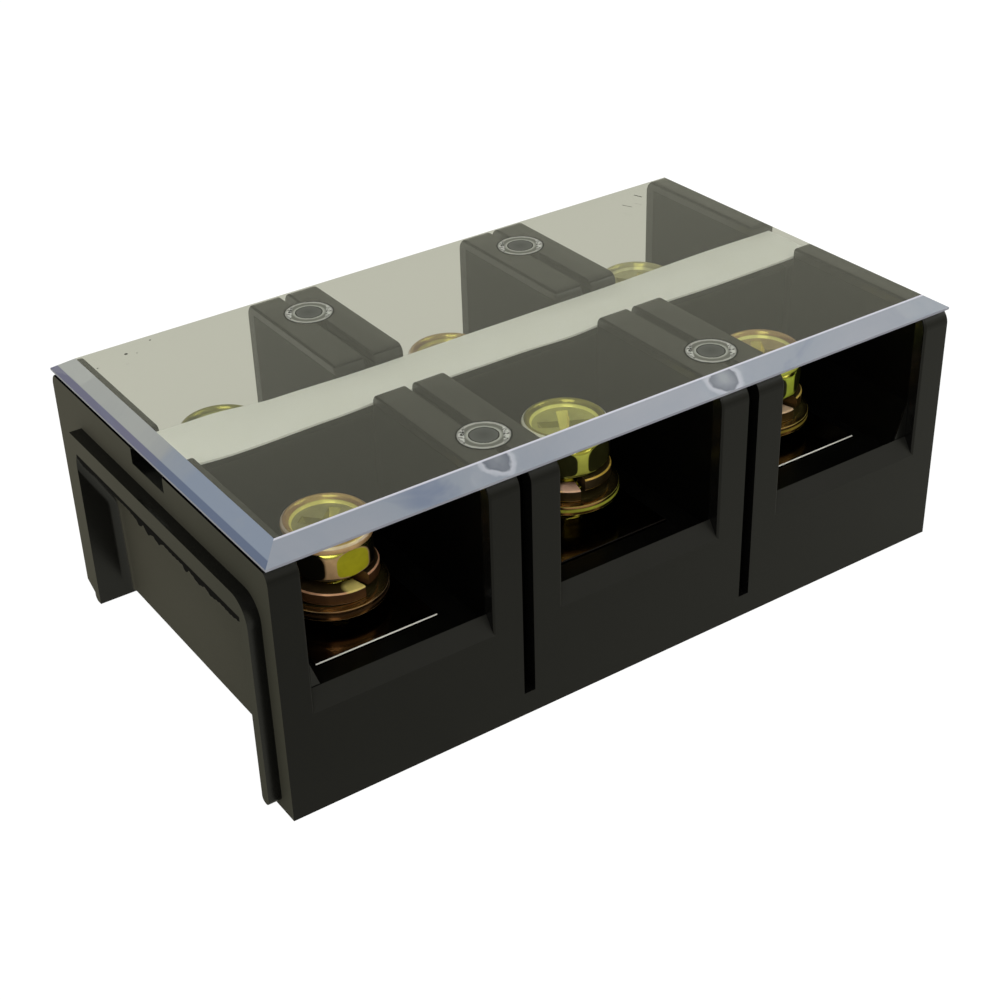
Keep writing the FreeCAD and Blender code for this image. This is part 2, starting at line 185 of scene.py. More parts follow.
class Nodes:
    """Small helper round one material's node tree."""

    def __init__(self, name):
        self.mat = bpy.data.materials.new(name)
        self.mat.use_nodes = True
        self.tree = self.mat.node_tree
        self.tree.nodes.clear()
        self.out = self.add("ShaderNodeOutputMaterial")

    def add(self, kind, **props):
        node = self.tree.nodes.new(kind)
        for key, value in props.items():
            setattr(node, key, value)
        return node

    def link(self, a, b):
        self.tree.links.new(a, b)

    def surface(self, socket):
        self.link(socket, self.out.inputs["Surface"])

    def shader(self, **values):
        node = self.add("ShaderNodeBsdfPrincipled")
        for key, value in values.items():
            node.inputs[key.replace("_", " ")].default_value = value
        return node

    def glow(self, colour, strength):
        node = self.add("ShaderNodeEmission")
        node.inputs["Color"].default_value = colour
        node.inputs["Strength"].default_value = strength
        return node.outputs[0]

    def coords(self):
        return self.add("ShaderNodeTexCoord").outputs["Object"]

    def parts(self, output):
        """The three components of a texture coordinate."""
        node = self.add("ShaderNodeSeparateXYZ")
        self.link(self.add("ShaderNodeTexCoord").outputs[output], node.inputs[0])
        return node.outputs["X"], node.outputs["Y"], node.outputs["Z"]

    def noise(self, scale, detail=4.0, rough=0.5, distortion=0.0):
        node = self.add("ShaderNodeTexNoise")
        node.inputs["Scale"].default_value = scale
        node.inputs["Detail"].default_value = detail
        node.inputs["Roughness"].default_value = rough
        node.inputs["Distortion"].default_value = distortion
        self.link(self.coords(), node.inputs["Vector"])
        return node.outputs["Fac"]

    def ramp(self, fac, stops):
        node = self.add("ShaderNodeValToRGB")
        band = node.color_ramp
        while len(band.elements) < len(stops):
            band.elements.new(0.5)
        for element, (place, colour) in zip(band.elements, stops):
            element.position = place
            element.color = tuple(colour) + (1.0,)
        self.link(fac, node.inputs["Fac"])
        return node.outputs["Color"]

    def paint(self, shader, fac, stops):
        """Base colour of a shader, from a ramp."""
        self.link(self.ramp(fac, stops), shader.inputs["Base Color"])

    def span(self, value, low, high, to_low=0.0, to_high=1.0):
        node = self.add("ShaderNodeMapRange")
        self.link(value, node.inputs["Value"])
        node.inputs["From Min"].default_value = low
        node.inputs["From Max"].default_value = high
        node.inputs["To Min"].default_value = to_low
        node.inputs["To Max"].default_value = to_high
        return node.outputs["Result"]

    def grain(self, shader, height, strength):
        """Very shallow bump, 0.01 mm deep."""
        node = self.add("ShaderNodeBump")
        node.inputs["Strength"].default_value = strength
        node.inputs["Distance"].default_value = 0.01 * MM
        self.link(height, node.inputs["Height"])
        self.link(node.outputs["Normal"], shader.inputs["Normal"])

    def math(self, operation, a, b):
        node = self.add("ShaderNodeMath", operation=operation)
        for socket, value in zip(node.inputs, (a, b)):
            if isinstance(value, (int, float)):
                socket.default_value = value
            else:
                self.link(value, socket)
        return node.outputs["Value"]

    def absolute(self, value):
        return self.math("ABSOLUTE", value, 0.0)

    def times(self, *masks):
        result = masks[0]
        for mask in masks[1:]:
            result = self.math("MULTIPLY", result, mask)
        return result

    def reach(self, centre):
        """Distance from a fixed point of the piece."""
        node = self.add("ShaderNodeVectorMath", operation="DISTANCE")
        self.link(self.coords(), node.inputs[0])
        node.inputs[1].default_value = tuple(c * MM for c in centre)
        return node.outputs["Value"]

    def along(self, direction):
        """How far the surface faces a fixed direction of the piece."""
        node = self.add("ShaderNodeVectorMath", operation="DOT_PRODUCT")
        self.link(self.add("ShaderNodeTexCoord").outputs["Normal"], node.inputs[0])
        node.inputs[1].default_value = direction
        return node.outputs["Value"]

    def blend(self, fac, a, b):
        node = self.add("ShaderNodeMix", data_type="RGBA")
        self.link(fac, node.inputs["Factor"])
        self.link(a, node.inputs["A"])
        self.link(b, node.inputs["B"])
        return node.outputs["Result"]

    def mix(self, fac, a, b):
        node = self.add("ShaderNodeMixShader")
        self.link(fac, node.inputs[0])
        self.link(a, node.inputs[1])
        self.link(b, node.inputs[2])
        return node.outputs[0]


def black_moulding():
    """Smooth on the steps, with painted shade in the pockets, painted light on the sloped tops of the front
    and rear faces, and painted light on the end faces, over a fine matt grain.
    """
    m = Nodes("black_moulding")
    x, y, z = m.parts("Object")
    nx, ny, nz = m.parts("Normal")
    off_x = m.absolute(x)
    off_y = m.absolute(y)
    outward = m.math("MULTIPLY", nx, x)
    fine = m.noise(7000.0, 3.0, 0.6)
    sweep = m.noise(45.0, 3.0, 0.5)

    smooth = m.shader(IOR=1.5)
    m.paint(smooth, sweep, [(0.3, (0.0026, 0.0026, 0.0024)), (0.75, (0.0040, 0.0039, 0.0036))])
    m.link(m.span(sweep, 0.25, 0.75, 0.20, 0.26), smooth.inputs["Roughness"])
    m.grain(smooth, fine, 0.05)

    # painted shade: the pockets are painted darker and less glossy than the rest of the moulding
    painted_pocket_shade = m.shader(IOR=1.5, Roughness=0.28, Specular_IOR_Level=0.07)
    m.paint(painted_pocket_shade, sweep, [(0.3, (0.0011, 0.0011, 0.0010)), (0.75, (0.0020, 0.0019, 0.0017))])
    pocket = m.times(m.span(z, *POCKET_TOP), m.span(off_y, *POCKET_MOUTH),
                     m.math("MAXIMUM", m.span(off_x, *POCKET_END), m.span(outward, -0.02, -0.03)))
    body = m.mix(pocket, smooth.outputs[0], painted_pocket_shade.outputs[0])

    # painted light: on the front and rear faces the sloped tops are painted lighter than the upright parts,
    # and a painted reflection grows stronger towards +x
    face = m.shader(IOR=1.5)
    plain = m.ramp(sweep, [(0.3, (0.0024, 0.0023, 0.0016)), (0.75, (0.0040, 0.0038, 0.0028))])
    painted_light_slope = m.ramp(sweep, [(0.3, (0.0120, 0.0118, 0.0105)), (0.75, (0.0140, 0.0136, 0.0122))])
    m.link(m.blend(m.span(nz, 0.3, 0.5), plain, painted_light_slope), face.inputs["Base Color"])
    m.link(m.span(sweep, 0.25, 0.75, 0.30, 0.38), face.inputs["Roughness"])
    m.link(m.span(x, -0.062, 0.062, 0.24, 0.31), face.inputs["Specular IOR Level"])
    m.grain(face, fine, 0.3)
    side = m.times(m.span(off_y, *SIDE_FACE), m.span(m.absolute(ny), 0.35, 0.6))
    body = m.mix(side, body, face.outputs[0])

    # painted light: the end faces are painted far lighter than the black moulding, and lighter towards the
    # rear, for the bright floor they reflect; the matt roughness and grain are the surface's own
    matt = m.shader(IOR=1.5, Roughness=0.7, Specular_IOR_Level=0.12)
    painted_end_light = m.math("ADD", m.span(y, -0.032, 0.026), m.span(sweep, 0.25, 0.75, -0.12, 0.12))
    m.paint(matt, painted_end_light, [(0.05, (0.066, 0.064, 0.048)), (0.95, (0.102, 0.097, 0.074))])
    m.grain(matt, fine, 0.4)
    end = m.times(m.span(outward, *END_SLOPE), m.span(off_x, *END_FACE))
    body = m.mix(end, body, matt.outputs[0])

    # thin shadow gap under the cover
    gap = m.shader(IOR=1.5, Roughness=0.6, Specular_IOR_Level=0.0, Base_Color=(0.001, 0.001, 0.0015, 1.0))
    edge = m.times(m.span(z, *COVER_GAP), m.span(nz, 0.9, 0.8))
    m.surface(m.mix(edge, body, gap.outputs[0]))
    return m.mat


def clear_plastic():
    """Clear plate whose bevel is painted with the light it refracts, as a milky tone with painted reflections
    of the front pegs, and with a painted highlight along its upper edge.
    """
    m = Nodes("clear_plastic")
    x, y, z = m.parts("Object")
    nx, ny, nz = m.parts("Normal")
    glass = m.shader(IOR=1.49, Base_Color=(0.95, 0.955, 0.94, 1.0), Transmission_Weight=1.0)
    m.link(m.span(m.noise(45.0, 5.0, 0.6, 0.4), 0.35, 0.75, 0.0, 0.012), glass.inputs["Roughness"])

    # painted light: the light trapped in the bevel is painted on as a milky tone, with a painted patch of
    # shade and a paler painted inner band on the left side
    leftward = m.span(nx, -0.2, -0.4)
    cloud = m.noise(38.0, 5.0, 0.62, 0.6)
    shade = m.span(m.reach(BEVEL_PATCH), 0.010, 0.002, 0.0, 0.16)
    tint = m.ramp(m.math("SUBTRACT", cloud, shade), [
        (0.33, (0.235, 0.28, 0.39)), (0.42, (0.34, 0.38, 0.455)), (0.55, (0.37, 0.40, 0.47)),
        (0.72, (0.40, 0.42, 0.485))])
    depth = m.math("ADD", m.span(y, 0.014, -0.014), m.span(cloud, 0.3, 0.7, -0.3, 0.3))
    light = m.ramp(depth, [(0.1, (0.50, 0.52, 0.51)), (0.5, (0.44, 0.46, 0.48)), (0.9, (0.32, 0.38, 0.50))])
    low = m.ramp(depth, [(0.1, (0.20, 0.20, 0.31)), (0.9, (0.155, 0.20, 0.32))])
    inner = m.span(x, *BEVEL_BAND)
    hue = m.blend(leftward, tint, m.blend(inner, low, light))

    # painted reflections of the two split pegs near the front edge, in the bevel
    for centre, radius in BEVEL_PEGS:
        size = radius * MM
        waver = m.span(m.noise(420.0, 2.0, 0.5), 0.3, 0.7, -0.0004, 0.0004)
        away = m.math("ADD", m.reach(centre), waver)
        spot = m.ramp(m.span(away, 0.0, size), [
            (0.1, (0.33, 0.36, 0.40)), (0.45, (0.22, 0.24, 0.29)), (0.60, (0.17, 0.19, 0.24)),
            (0.70, (0.56, 0.58, 0.66)), (0.84, (0.50, 0.53, 0.61)), (1.0, (0.37, 0.40, 0.47))])
        hue = m.blend(m.times(m.span(away, size, size * 0.86), m.span(leftward, 0.5, 0.4)), hue, spot)

    painted_bevel_light = m.shader(IOR=1.45, Roughness=0.15)
    m.link(hue, painted_bevel_light.inputs["Base Color"])
    bevel = m.times(m.span(nz, 0.60, 0.78), m.span(nz, 0.97, 0.90))
    body = m.mix(m.times(bevel, m.span(ny, 0.2, 0.4, 1.0, 0.25), 0.9), glass.outputs[0], painted_bevel_light.outputs[0])

    # painted highlight: a pale line along the upper edge of the bevel
    line = m.shader(IOR=1.45, Roughness=0.2, Base_Color=(0.72, 0.72, 0.82, 1.0))
    crest = m.times(bevel, m.span(z, *BEVEL_CREST), m.span(ny, -0.2, -0.4))
    body = m.mix(crest, body, line.outputs[0])

    # painted light: the plate's upright edge is painted a bluish grey for the light it refracts
    rim = m.shader(IOR=1.45, Roughness=0.2, Base_Color=(0.42, 0.43, 0.52, 1.0))
    side = m.times(m.span(m.absolute(nz), 0.3, 0.2), m.span(z, *PLATE_EDGE), 0.8)
    body = m.mix(side, body, rim.outputs[0])

    clear = m.add("ShaderNodeBsdfTransparent")
    clear.inputs["Color"].default_value = (0.86, 0.88, 0.88, 1.0)
    path = m.add("ShaderNodeLightPath")
    m.surface(m.mix(path.outputs["Is Shadow Ray"], body, clear.outputs[0]))
    return m.mat


def white_strip():
    m = Nodes("white_strip")
    card = m.shader(IOR=1.46, Roughness=0.42)
    m.paint(card, m.noise(140.0, 4.0, 0.6), [(0.3, (0.87, 0.87, 0.79)), (0.75, (0.91, 0.91, 0.84))])
    m.surface(card.outputs[0])
    return m.mat


def plated_bar():
    """Dark plating with a painted highlight along its front edge, and the edge painted dull and dark along
    most of the middle bar.
    """
    m = Nodes("plated_bar")
    x = m.parts("Object")[0]
    cloud = m.noise(300.0, 4.0, 0.6)
    metal = m.shader(Metallic=1.0)
    m.paint(metal, cloud, [(0.3, (0.085, 0.062, 0.042)), (0.75, (0.13, 0.10, 0.07))])
    m.link(m.span(cloud, 0.3, 0.75, 0.12, 0.20), metal.inputs["Roughness"])
    # painted highlight: a pale sheen on the front edge, everywhere but along most of the middle bar
    painted_edge_highlight = m.shader(IOR=1.45, Roughness=0.3)
    m.paint(painted_edge_highlight, cloud, [(0.3, (0.80, 0.78, 0.70)), (0.75, (0.95, 0.93, 0.88))])
    # painted shade: the front edge left dark and dull along most of the middle bar
    dull = m.shader(IOR=1.45, Roughness=0.6, Specular_IOR_Level=0.1, Base_Color=(0.006, 0.005, 0.004, 1.0))
    bright = m.math("MAXIMUM", m.span(x, -0.0155, -0.0165), m.span(x, 0.020, 0.021))
    edge = m.times(m.span(m.along(FORWARD), 0.25, 0.35), m.span(m.along(UPWARD), 0.25, 0.35))
    m.surface(m.mix(edge, metal.outputs[0], m.mix(bright, dull.outputs[0], painted_edge_highlight.outputs[0])))
    return m.mat


def zinc_metal(m, stops):
    """Yellow chromated zinc whose hue drifts over the surface."""
    weight = m.add("ShaderNodeLayerWeight")
    weight.inputs["Blend"].default_value = 0.4
    drift = m.span(m.noise(230.0, 3.0, 0.55, 0.8), 0.25, 0.75, -0.15, 0.15)
    metal = m.shader(Metallic=1.0)
    m.paint(metal, m.math("ADD", drift, weight.outputs["Facing"]), stops)
    m.link(m.span(m.noise(1200.0, 3.0, 0.6), 0.3, 0.75, 0.14, 0.24), metal.inputs["Roughness"])
    return metal.outputs[0]


def film_and_painted_light(m, colour):
    """Cloudy layer over the zinc in one hue, which carries the chromate's colour and the painted light of
    each zone.
    """
    dark = tuple(c * 0.86 for c in colour)
    pale = tuple(min(1.0, c * 1.12) for c in colour)
    layer = m.shader(IOR=1.45, Roughness=0.30, Specular_IOR_Level=0.16)
    m.paint(layer, m.noise(420.0, 4.0, 0.6), [(0.3, dark), (0.7, pale)])
    return layer.outputs[0]


def coat(m, body, layer, *masks):
    """The body with a layer over it where all the masks meet."""
    return m.mix(m.times(*masks), body, layer)


def yellow_zinc():
    m = Nodes("yellow_zinc")
    m.surface(zinc_metal(m, GOLD))
    return m.mat


def head_zinc(name, x, y, under, turn, looks):
    """Screw head whose dish floor, dish wall, rim, outer edge and single flats get painted tones of light
    over the plating's hue: painted highlights, painted shade below the rim and one painted bright reflection.
    """
    m = Nodes(name)
    top = under + HEAD_HEIGHT
    z = m.parts("Object")[2]
    level = m.along(UPWARD)
    reach = m.reach((x, y, top - 0.6))
    high = m.span(z, (top - 1.32) * MM, (top - 1.26) * MM)
    below = m.span(z, (top - 1.30) * MM, (top - 1.42) * MM)

    # the cross recess, then the painted tones of light on the zones of the top from the dish outward
    in_dish = m.span(reach, *CROSS_OUT)
    recess = m.times(high, in_dish, m.span(level, 0.7, 0.6))
    sunk = m.times(m.span(z, (top - 1.28) * MM, (top - 1.34) * MM), in_dish)
    body = coat(m, zinc_metal(m, GOLD), film_and_painted_light(m, looks["floor"]), m.math("MAXIMUM", recess, sunk), 0.62)
    zones = (("floor", 0.86, (m.span(level, 0.6, 0.8), m.span(reach, *FLOOR_OUT))),
             ("wall", 0.8, (m.span(reach, *WALL_IN), m.span(reach, *WALL_OUT))),
             ("rim", 0.72, (m.span(reach, *RIM_IN), m.span(reach, *RIM_OUT))),
             ("line", 0.85, (m.span(reach, *LINE_IN), m.span(level, 0.3, 0.45))))
    for zone, share, masks in zones:
        body = coat(m, body, film_and_painted_light(m, looks[zone]), high, *masks, share)

    # painted shade on the outside under the rim, with one painted bright reflection as a column
    outer = m.times(m.span(level, 0.5, 0.35), m.span(m.reach((x, y, under + 3.0)), *SHANK_OUT))
    body = coat(m, body, m.mix(high, film_and_painted_light(m, PAINTED_SHADE), film_and_painted_light(m, looks["rim"])), outer, 0.88)
    body = coat(m, body, film_and_painted_light(m, looks["column"]), outer, m.span(m.along(looks["toward"]), 0.80, 0.93), 0.75)
    # painted light on single flats: painted shade on most, a painted highlight on one flat of the front left
    # head
    for number, colour in looks["flats"]:
        angle = math.radians(turn + 60.0 * number)
        facing = m.span(m.along((math.cos(angle), math.sin(angle), 0.0)), 0.992, 0.997)
        body = coat(m, body, film_and_painted_light(m, colour), below, facing, 0.93)
    m.surface(body)
    return m.mat


def washer_zinc(name, side, edge, top, shine=None, cut=None):
    """Washer whose side, rounded edges and top get painted tones of light over the plating's hue, with
    painted highlights on the edges and on the cut end.
    """
    m = Nodes(name)
    tilt = m.absolute(m.along(UPWARD))
    body = zinc_metal(m, COPPER)
    body = coat(m, body, film_and_painted_light(m, top), m.span(tilt, 0.98, 0.995), 0.85)
    body = coat(m, body, film_and_painted_light(m, side), m.span(tilt, 0.12, 0.04), 0.85)
    body = coat(m, body, film_and_painted_light(m, edge), m.span(tilt, 0.25, 0.4), m.span(tilt, 0.95, 0.85), 0.8)
    if cut:
        near = m.span(m.reach(cut), *CUT_SHINE)
        body = coat(m, body, film_and_painted_light(m, shine), near, m.span(tilt, 0.1, 0.2), 0.85)
    m.surface(body)
    return m.mat


def ragged_edge():
    m = Nodes("ragged_edge")
    # near black and dull: the dust's own colour, and on the flash also painted shade under the rim
    dull = m.shader(IOR=1.5, Roughness=0.9, Specular_IOR_Level=0.1)
    m.paint(dull, m.noise(2000.0), [(0.3, (0.0015, 0.0015, 0.0015)), (0.8, (0.004, 0.003, 0.003))])
    m.surface(dull.outputs[0])
    return m.mat


def peg_rings():
    """Painted refraction rings and glints of a split peg, seen through the plate."""
    m = Nodes("peg_rings")
    x, y, _ = m.parts("Object")
    waver = m.span(m.noise(900.0, 3.0, 0.6), 0.3, 0.7, -0.00006, 0.00006)
    reach = m.math("ADD", m.reach((0.0, 0.0, 0.0)), waver)
    rings = m.ramp(m.span(reach, 0.0, 0.0042), [
        (0.0, (0.115, 0.122, 0.118)), (0.49, (0.135, 0.14, 0.135)), (0.505, (0.012, 0.012, 0.012)),
        (0.535, (0.014, 0.014, 0.014)), (0.555, (0.62, 0.63, 0.58)), (0.62, (0.42, 0.43, 0.39)),
        (0.67, (0.19, 0.195, 0.17)), (0.80, (0.22, 0.225, 0.20)), (0.85, (0.72, 0.72, 0.68)),
        (0.925, (0.40, 0.40, 0.38)), (0.945, (0.010, 0.010, 0.010))])
    across = m.absolute(m.math("ADD", m.times(x, 0.847), m.times(y, -0.5316)))
    glints = m.ramp(m.noise(1500.0, 2.0, 0.6, 1.0), [(0.42, (0.02, 0.02, 0.02)), (0.54, (0.80, 0.81, 0.78))])
    wedge = m.times(m.span(across, 0.0027, 0.0029), m.span(reach, 0.0024, 0.0026),
                    m.span(reach, 0.0038, 0.0036))
    disc = m.shader(IOR=1.45, Roughness=0.3, Specular_IOR_Level=0.2)
    m.link(m.blend(wedge, rings, glints), disc.inputs["Base Color"])
    clear = m.add("ShaderNodeBsdfTransparent")
    cover = m.times(m.span(reach, 0.00418, 0.00414), m.span(reach, 0.0, 0.002, 0.75, 0.95))
    m.surface(m.mix(cover, clear.outputs[0], disc.outputs[0]))
    return m.mat


MATERIALS = {
    "black_moulding": black_moulding(),
    "clear_plastic": clear_plastic(),
    "white_strip": white_strip(),
    "plated_bar": plated_bar(),
    "yellow_zinc": yellow_zinc(),
    "ragged_edge": ragged_edge(),
    "peg_rings": peg_rings(),
}


def dress(obj, material):
    obj.data.materials.clear()
    obj.data.materials.append(MATERIALS[material] if isinstance(material, str) else material)


for entry in frame["record"]["subparts"]:
    if entry["node"] in nodes:
        dress(nodes[entry["node"]], entry["material_slot"])


# Visual pieces, made in the frame's metres

def add_object(name, verts, faces):
    mesh = bpy.data.meshes.new(name)
    mesh.from_pydata(verts, [], faces)
    obj = bpy.data.objects.new(name, mesh)
    bpy.context.collection.objects.link(obj)
    return obj


def make_piece(name, verts, faces, material, body, replaced=None, angle=32.0):
    obj = add_object(name, [tuple(c * MM for c in v) for v in verts], faces)
    obj.data.validate()
    obj.data.shade_smooth()
    obj.data.set_sharp_from_angle(angle=math.radians(angle))
    dress(obj, material)
    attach(obj, body)
    if replaced:
        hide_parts(replaced)
    return obj


def box_of(node):
    low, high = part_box(node)
    return [v / MM for v in low], [v / MM for v in high]


def centre_of(node):
    low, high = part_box(node)
    return [(a + b) / 2.0 / MM for a, b in zip(low, high)]


def ring_of(x, y, z, steps, radius_at, turn=0.0):
    """Closed ring of points whose radius may vary with the angle."""
    points = []
    for i in range(steps):
        angle = 2.0 * math.pi * i / steps
        radius = radius_at(angle)
        world = angle + math.radians(turn)
        points.append((x + radius * math.cos(world), y + radius * math.sin(world), z))
    return points


def rings_to_mesh(rings):
    verts, faces = [], []
    count = len(rings[0])
    for ring in rings:
        verts.extend(ring)
    for j in range(len(rings) - 1):
        for i in range(count):
            k = (i + 1) % count
            faces.append((j * count + i, j * count + k, (j + 1) * count + k, (j + 1) * count + i))
    return verts, faces


def add_fan(verts, faces, start, count, centre, upward):
    """Close a ring of points with triangles to its centre."""
    verts.append(centre)
    tip = len(verts) - 1
    for i in range(count):
        a = start + i
        b = start + (i + 1) % count
        faces.append((a, b, tip) if upward else (b, a, tip))


def soft_min(a, b, k):
    h = max(k - abs(a - b), 0.0) / k
    return min(a, b) - h * h * k * 0.25


def bent(x, stops):
    """Smooth curve through a few (x, value) stops."""
    if x <= stops[0][0]:
        return stops[0][1]
    for (x0, v0), (x1, v1) in zip(stops, stops[1:]):
        if x <= x1:
            t = (x - x0) / (x1 - x0)
            t = t * t * (3.0 - 2.0 * t)
            return v0 + (v1 - v0) * t
    return stops[-1][1]


def barrel_at(height):
    """Radius of the hexagon with its rounded corners, at one height."""
    lower = [row for row in BARREL if row[0] <= height + 1e-6][-1]
    upper = [row for row in BARREL if row[0] >= height - 1e-6][0]
    share = 0.0 if upper[0] == lower[0] else (height - lower[0]) / (upper[0] - lower[0])
    barrel = lower[1] + (upper[1] - lower[1]) * share

    def radius(angle):
        local = (angle + math.pi / 6.0) % (math.pi / 3.0) - math.pi / 6.0
        return soft_min(barrel, HALF_FLATS / math.cos(local), FLAT_BLEND)
    return radius


def head_rings(x, y, under, turn):
    """Rings from the shank up the outside of the head, over its rim and into the dish."""
    def round_at(radius):
        return lambda angle: radius

    profile = [(height, round_at(radius)) for height, radius in BASE]
    for j in range(BARREL_RINGS + 1):
        height = BARREL_LOW + BARREL_TALL * j / BARREL_RINGS
        profile.append((height, barrel_at(height)))
    profile += [(height, round_at(radius)) for height, radius in COLLAR + CROWN]
    return [ring_of(x, y, under + height, HEAD_STEPS, radius_at, turn) for height, radius_at in profile]


def cross_arm(x, y, z, turn):
    """One arm of the cross recess, as a tapered bar."""
    verts = []
    a = math.radians(turn)
    for side in (-1.0, 1.0):
        for u, h, half in CROSS_ARM:
            px = u * math.cos(a) - side * half * math.sin(a)
            py = u * math.sin(a) + side * half * math.cos(a)
            verts.append(((x + px) * MM, (y + py) * MM, (z + h) * MM))
    n = len(CROSS_ARM)
    faces = [tuple(range(n)), tuple(n + i for i in reversed(range(n)))]
    for i in range(n):
        k = (i + 1) % n
        faces.append((k, i, n + i, n + k))
    return add_object("arm", verts, faces)


def cut_cross(head, x, y, floor, turn):
    """Cut the cross recess into the floor of the dish."""
    # the second arm lies a little higher, so that no two faces coincide
    arms = [cross_arm(x, y, floor, turn), cross_arm(x, y, floor + 0.003, turn + 90.0)]
    for arm in arms:
        mod = head.modifiers.new("cross", "BOOLEAN")
        mod.operation = "DIFFERENCE"
        mod.solver = "MANIFOLD"
        mod.object = arm
    bpy.context.view_layer.update()
    made = bpy.data.meshes.new_from_object(head.evaluated_get(bpy.context.evaluated_depsgraph_get()))
    head.modifiers.clear()
    old = head.data
    head.data = made
    bpy.data.meshes.remove(old)
    for arm in arms:
        bpy.data.objects.remove(arm)


def thread_rings(x, y, top, bottom):
    """Outside of the shank with its rolled thread, as rings from the tip up."""
    rings = []
    count = int((top - bottom) / THREAD_PITCH * RINGS_PER_TURN)
    for j in range(count + 1):
        z = bottom + (top - bottom) * j / count

        def radius_at(angle):
            phase = (z / THREAD_PITCH - angle / (2.0 * math.pi)) % 1.0
            crest = 1.0 - abs(2.0 * phase - 1.0)
            radius = THREAD_INNER + (THREAD_OUTER - THREAD_INNER) * min(1.0, max(0.0, crest * 1.3 - 0.15))
            return min(radius, TIP_RADIUS + (z - bottom) * TIP_SLOPE)
        rings.append(ring_of(x, y, z, THREAD_STEPS, radius_at))
    return rings


def build_screw(key, turn, cross, material):
    name = "screw_" + key
    low, high = box_of(name)
    x, y, _ = centre_of("flat_washer_" + key)
    under = high[2] - HEAD_HEIGHT
    floor = under + CROWN[-1][0]
    rings = head_rings(x, y, under, turn)
    verts, faces = rings_to_mesh(rings)
    count = len(rings[0])
    add_fan(verts, faces, (len(rings) - 1) * count, count, (x, y, floor), True)
    add_fan(verts, faces, 0, count, (x, y, under), False)
    head = make_piece("head_" + key, verts, faces, material, name, name)
    cut_cross(head, x, y, floor + CROSS_RISE, cross)
    dress(head, material)
    head.data.set_sharp_from_angle(angle=math.radians(32.0))
    rings = thread_rings(x, y, under + THREAD_OVERLAP, low[2])
    verts, faces = rings_to_mesh(rings)
    add_fan(verts, faces, 0, len(rings[0]), (x, y, low[2]), False)
    make_piece("thread_" + key, verts, faces, "yellow_zinc", name, name, angle=50.0)


def build_flat_washer(key, material):
    name = "flat_washer_" + key
    low, high = box_of(name)
    x, y, _ = centre_of(name)
    outer, soft = (high[0] - low[0]) / 2.0, DISC_SOFT
    section = [(DISC_BORE, low[2]), (outer - soft, low[2]), (outer - soft * 0.3, low[2] + soft * 0.3),
               (outer, low[2] + soft), (outer, high[2] - soft), (outer - soft * 0.3, high[2] - soft * 0.3),
               (outer - soft, high[2]), (DISC_BORE, high[2]), (DISC_BORE, low[2])]
    rings = [ring_of(x, y, z, WASHER_STEPS, lambda angle, r=r: r) for r, z in section]
    verts, faces = rings_to_mesh(rings)
    make_piece("disc_" + key, verts, faces, material, "washers_" + key, name, angle=40.0)


def build_spring_washer(key, split, material):
    name = "spring_washer_" + key
    low, high = box_of(name)
    x, y, _ = centre_of("flat_washer_" + key)
    inner, outer, wire, soft = COIL_BORE, COIL_OUTER, COIL_WIRE, COIL_SOFT
    rise = high[2] - low[2] - wire
    section = [(inner + soft, 0), (outer - soft, 0), (outer, soft), (outer, wire - soft),
               (outer - soft, wire), (inner + soft, wire), (inner, wire - soft), (inner, soft)]
    rings = []
    for j in range(WASHER_STEPS + 1):
        t = j / WASHER_STEPS
        a = math.radians(split) - math.radians(COIL_TURN) * t
        rings.append([(x + r * math.cos(a), y + r * math.sin(a), low[2] + rise * t + h) for r, h in section])
    verts, faces = rings_to_mesh(rings)
    n = len(section)
    faces.append(tuple(range(n)))
    faces.append(tuple(WASHER_STEPS * n + i for i in reversed(range(n))))
    make_piece("coil_" + key, verts, faces, material, "washers_" + key, name, angle=30.0)


def build_terminals():
    for key, (turn, cross, split) in SCREWS.items():
        pole = key.split("_")[1]
        top = box_of("screw_" + key)[1][2]
        seat = box_of("spring_washer_" + key)[0][2]
        x, y, _ = centre_of("flat_washer_" + key)
        build_screw(key, turn, cross, head_zinc("head_" + key, x, y, top - HEAD_HEIGHT, turn, HEADS[key]))
        angle = math.radians(split - CUT_ANGLE)
        cut = (x + CUT_RADIUS * math.cos(angle), y + CUT_RADIUS * math.sin(angle), seat + COIL_WIRE)
        build_spring_washer(key, split, washer_zinc("coil_" + key, *COILS[pole], cut))
        build_flat_washer(key, washer_zinc("disc_" + key, *DISCS[pole]))


